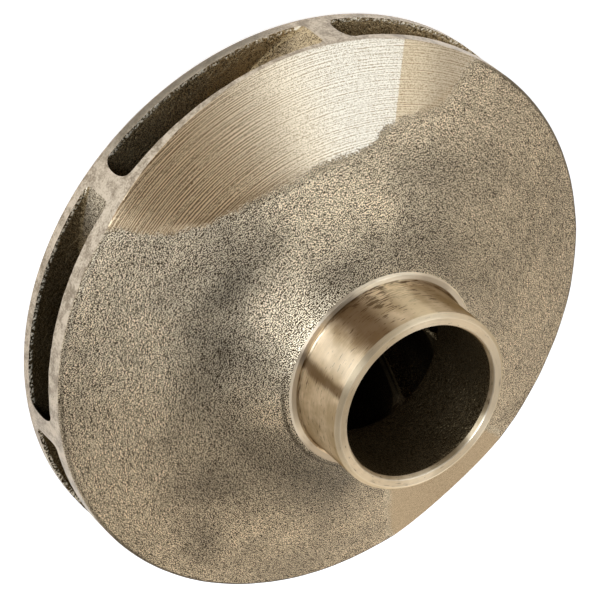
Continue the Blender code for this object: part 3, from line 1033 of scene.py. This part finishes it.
# Passages: angles between which painted light, painted shade, painted shade on their
# floors and painted light on the vanes' ends begin, and the radii between which painted glints begin at the
# rear lip
LIT_SIDE = (math.radians(88.0), math.radians(58.0))
SHADED_SIDE = (math.radians(112.0), math.radians(124.0))
SHADED_FLOOR = (math.radians(96.0), math.radians(99.0))
LIT_VANE_END = (1.20, 1.55)
VANE_END_RADII = (0.0780, 0.0845)
GLINT_RADII = (0.0862, 0.0867)
LIT_RADII = (0.060, 0.075)
EYE_RADII = (0.045, 0.026)
DEEP_HEIGHTS = (0.050, 0.038)


def slot_color(paint, shine, radius, angle):
    """Painted light on the vane ends, painted shade in the far passages and on their floors, and painted
    glints along the rear lip.
    """
    above_floor = paint.step(paint.z, SLOT_LOW + 0.0008, SLOT_LOW + 0.0020)
    # Painted light on the vane ends, stronger at the larger angles
    lit_vane_end = paint.times(paint.step(radius, *VANE_END_RADII), above_floor,
                           paint.blend(paint.step(angle, *LIT_VANE_END), 0.35, 1.0))
    color = paint.tint(shine, PASSAGE_DARK, paint.tint(lit_vane_end, PASSAGE_BROWN, PASSAGE_LIGHT))
    # Painted shade in the far passages and on their floors
    color = paint.tint(paint.times(paint.step(angle, *SHADED_SIDE), 0.50), color, PASSAGE_DARK)
    shaded_floor = paint.times(paint.step(angle, *SHADED_FLOOR), paint.less(1.0, above_floor), 0.4)
    color = paint.tint(shaded_floor, color, PASSAGE_DARK)
    # Painted glints in dots along the slots' rear lip
    rear_lip = paint.times(paint.step(radius, *GLINT_RADII),
                           paint.step(paint.z, SLOT_LOW + 0.0008, SLOT_LOW + 0.0004))
    glints = paint.times(rear_lip, paint.step(paint.noise(0.0008, 1.0, 0.6), 0.48, 0.56))
    return paint.tint(glints, color, GLINT)


def leading_edges(paint, radius):
    """Mask of the vanes' leading edges, which slope from the hub up to the shroud."""
    hub_end = float(height_on(HUB_WALL, LEADING_EDGE_AT_HUB))
    shroud_end = float(height_on(SHROUD_WALL, LEADING_EDGE_AT_SHROUD))
    slope = (LEADING_EDGE_AT_SHROUD - LEADING_EDGE_AT_HUB) / (shroud_end - hub_end)
    edge_radius = paint.add(paint.times(paint.z, slope), LEADING_EDGE_AT_HUB - slope * hub_end)
    below_shroud = paint.step(paint.z, shroud_end - 0.0006, shroud_end - 0.0016)
    return paint.times(paint.near(radius, edge_radius, 0.0009, 0.0004), below_shroud)


def passage_material():
    """Dark, coarse as-cast skin inside the eye and the passages, with painted light, shade and glints in the
    slots, painted shade deep in the eye and painted highlights on the vanes' leading edges.
    """
    paint = Paint("passage_skin")
    radius, angle = paint.around()
    fine = paint.noise(0.00030, 0.0)
    coarse = paint.noise(0.0011, 3.0, 0.65)
    patches = paint.noise(0.010, 3.0, 0.6)
    # Painted light on the lit side of the outer passages
    lit = paint.times(paint.step(angle, *LIT_SIDE), paint.step(radius, *LIT_RADII), 0.16)
    tone = paint.add(paint.times(fine, 1.2), paint.times(coarse, 0.7), paint.times(patches, 0.4), -0.35, lit)
    shine = paint.step(tone, 0.55, 1.15)
    color = slot_color(paint, shine, radius, angle)
    # Painted shade inside the eye, deepest low down
    inside = paint.step(radius, *EYE_RADII)
    color = paint.tint(paint.times(inside, 0.45), color, PASSAGE_DARK)
    color = paint.tint(paint.times(inside, paint.step(paint.z, *DEEP_HEIGHTS), 0.75), color, DEEP_SHADE)
    # Painted highlights along the vanes' leading edges
    color = paint.tint(paint.times(leading_edges(paint, radius), 0.30), color, PASSAGE_BROWN)
    height = paint.add(paint.times(fine, 0.00006), paint.times(coarse, 0.00045))
    return paint.finish(color, paint.blend(shine, 0.7, 0.4), paint.bump(height, 1.0), PASSAGE_GRAZING)


def impeller():
    """The whole casting as one mesh with its five finishes."""
    skin = Skin()
    rim_high = front_surface(skin)
    rim_low = ring(OUTER_RADIUS, BACK_HEIGHT + REAR_EDGE_ROUND)
    inlet_high = neck(skin)
    inlet_low = hub_and_back(skin, rim_low)
    passages(skin, rim_low, rim_high, inlet_low, inlet_high)
    makers = (cast_material, cut_material, turned_material, rim_material, passage_material)
    item = skin.to_object("impeller", [maker() for maker in makers])
    item.data.shade_smooth()
    item.data.set_sharp_from_angle(angle=math.radians(32))
    return item


def camera():
    """The photo's view, fitted to the outlines of the rim, the neck and the eye."""
    data = bpy.data.cameras.new("camera")
    item = bpy.data.objects.new("camera", data)
    bpy.context.scene.collection.objects.link(item)
    right = Vector((0.6533, -0.5529, 0.5172))
    up = Vector((0.7571, 0.4771, -0.4463))
    back = Vector((0.0, 0.6831, 0.7303))
    turn = Matrix((right, up, back)).transposed().to_4x4()
    place = Vector((-0.004, 8.188, 8.828)) * OUTER_RADIUS + Vector((0, 0, BACK_HEIGHT))
    item.matrix_world = Matrix.Translation(place) @ turn
    data.sensor_width = 36.0
    data.lens = 215.8
    data.clip_end = 10.0
    bpy.context.scene.camera = item


def softbox(name, direction, along, size, radiance, color):
    """Rectangular lamp a metre out in a direction, its length turned along another."""
    data = bpy.data.lights.new(name, "AREA")
    data.shape = "RECTANGLE"
    data.size, data.size_y = size
    data.energy = radiance * math.pi * size[0] * size[1]
    data.color = color
    item = bpy.data.objects.new(name, data)
    bpy.context.scene.collection.objects.link(item)
    out = Vector(direction).normalized()
    wide = Vector(along).cross(out).normalized()
    turn = Matrix((wide, out.cross(wide), out)).transposed().to_4x4()
    item.matrix_world = Matrix.Translation(out + Vector((0, 0, 0.03))) @ turn


def white_floor():
    """White ground that glows a little, as the photo's does."""
    bpy.ops.mesh.primitive_plane_add(size=8.0)
    floor = bpy.context.object
    floor.name = "floor"
    paint = Paint("floor_paint")
    paint.shader.inputs["Metallic"].default_value = 0.0
    paint.shader.inputs["Base Color"].default_value = (0.90, 0.90, 0.90, 1)
    paint.shader.inputs["Roughness"].default_value = 0.8
    paint.shader.inputs["Emission Color"].default_value = (1, 1, 1, 1)
    paint.shader.inputs["Emission Strength"].default_value = 0.55
    floor.data.materials.append(paint.material)


def studio():
    """Floor, white surroundings, and the lamps that the photo's reflections ask for."""
    white_floor()
    world = bpy.data.worlds.new("studio")
    world.use_nodes = True
    backdrop = world.node_tree.nodes["Background"]
    backdrop.inputs["Color"].default_value = (1, 1, 1, 1)
    backdrop.inputs["Strength"].default_value = 0.38
    bpy.context.scene.world = world
    bpy.context.scene.view_settings.view_transform = "Standard"
    softbox("key", (0.539, -0.043, 0.896), (0.757, 0.491, -0.431), (0.60, 0.90), 1.55, (0.88, 1.0, 1.16))
    softbox("side", (-0.31, 0.78, 0.54), (0.12, -0.55, 0.80), (0.44, 0.85), 5.5, (0.84, 1.0, 1.24))
    softbox("right_fill", (0.68, -0.48, 0.56), (0, 0, 1), (0.5, 0.5), 0.75, (1.0, 1.0, 1.0))
    softbox("back_fill", (-0.30, -0.80, 0.50), (0, 0, 1), (0.9, 0.7), 0.75, (1.0, 0.98, 0.94))


body = impeller()
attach(body, "root")
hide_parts("impeller_casting")
camera()
studio()
